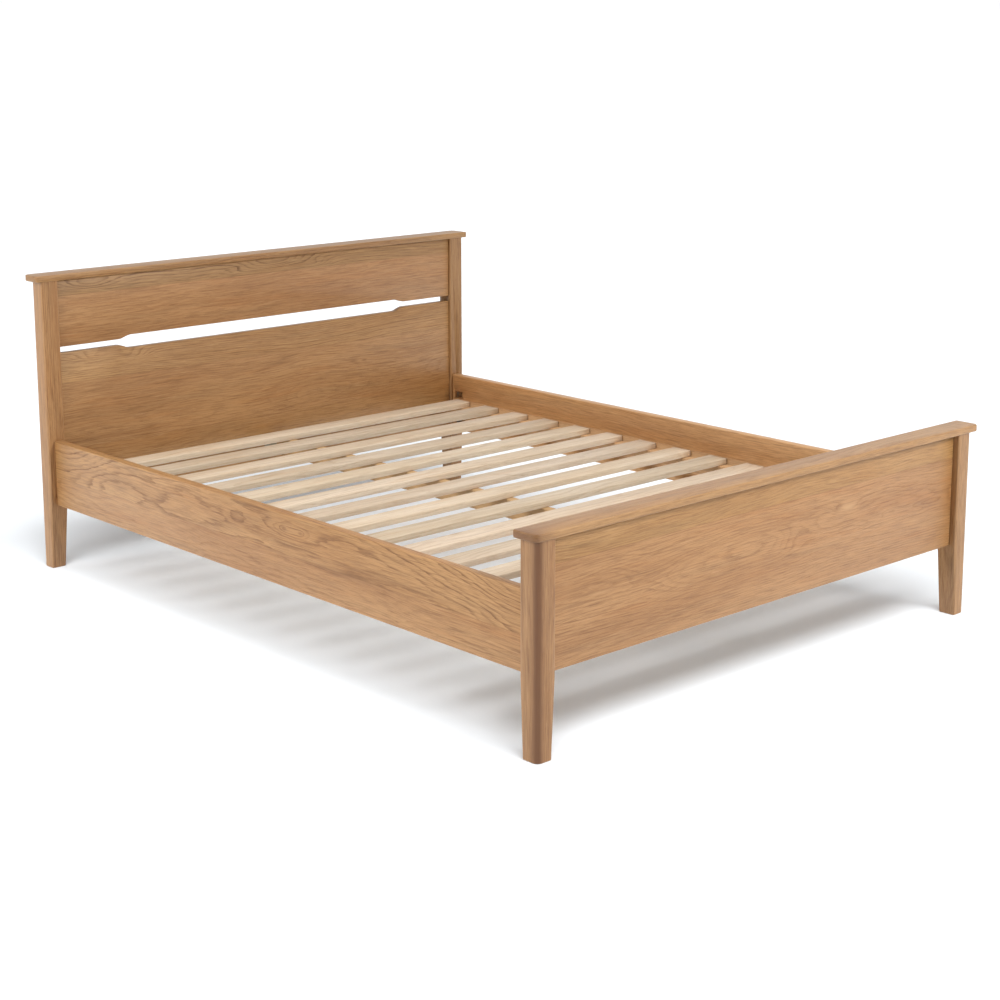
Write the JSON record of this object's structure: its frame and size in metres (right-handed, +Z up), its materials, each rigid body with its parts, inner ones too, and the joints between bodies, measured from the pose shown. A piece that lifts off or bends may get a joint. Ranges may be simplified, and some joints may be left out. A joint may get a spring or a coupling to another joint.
{
  "type": "bed frame",
  "caption": "Wooden bed frame with a slotted headboard, low footboard, capped posts, bolted side rails and a slatted base that carries a mattress.",
  "frame": {"origin": "on the floor, at the middle of the bed's outline", "axes": "+Z up, +Y along the bed from the footboard to the headboard, +X to the right seen from the foot end"},
  "size_m": [1.656, 2.154, 0.875],
  "materials": {
    "oak": "waxed solid oak, satin",
    "pine": "planed, unfinished softwood",
    "zinc_plated_steel": "zinc plated"
  },
  "bodies": {
    "root": {"centre_rail": "pine", "centre_rail_saddle_foot": "zinc_plated_steel", "centre_rail_saddle_head": "zinc_plated_steel", "foot_cap": "oak", "foot_panel": "oak", "foot_post_left": "oak", "foot_post_right": "oak", "half_moon_washer_foot_left_lower": "zinc_plated_steel", "half_moon_washer_foot_left_upper": "zinc_plated_steel", "half_moon_washer_foot_right_lower": "zinc_plated_steel", "half_moon_washer_foot_right_upper": "zinc_plated_steel", "half_moon_washer_head_left_lower": "zinc_plated_steel", "half_moon_washer_head_left_upper": "zinc_plated_steel", "half_moon_washer_head_right_lower": "zinc_plated_steel", "half_moon_washer_head_right_upper": "zinc_plated_steel", "head_cap": "oak", "head_panel_lower": "oak", "head_panel_upper": "oak", "head_post_left": "oak", "head_post_right": "oak", "rail_bolt_foot_left_lower": "zinc_plated_steel", "rail_bolt_foot_left_upper": "zinc_plated_steel", "rail_bolt_foot_right_lower": "zinc_plated_steel", "rail_bolt_foot_right_upper": "zinc_plated_steel", "rail_bolt_head_left_lower": "zinc_plated_steel", "rail_bolt_head_left_upper": "zinc_plated_steel", "rail_bolt_head_right_lower": "zinc_plated_steel", "rail_bolt_head_right_upper": "zinc_plated_steel", "side_rail_left": "oak", "side_rail_right": "oak", "slat_01": "pine", "slat_02": "pine", "slat_03": "pine", "slat_04": "pine", "slat_05": "pine", "slat_06": "pine", "slat_07": "pine", "slat_08": "pine", "slat_09": "pine", "slat_10": "pine", "slat_11": "pine", "slat_12": "pine", "slat_13": "pine", "slat_14": "pine", "slat_ledge_left": "pine", "slat_ledge_right": "pine", "threaded_insert_foot_left_lower": "zinc_plated_steel", "threaded_insert_foot_left_upper": "zinc_plated_steel", "threaded_insert_foot_right_lower": "zinc_plated_steel", "threaded_insert_foot_right_upper": "zinc_plated_steel", "threaded_insert_head_left_lower": "zinc_plated_steel", "threaded_insert_head_left_upper": "zinc_plated_steel", "threaded_insert_head_right_lower": "zinc_plated_steel", "threaded_insert_head_right_upper": "zinc_plated_steel"}
  },
  "joints": []
}
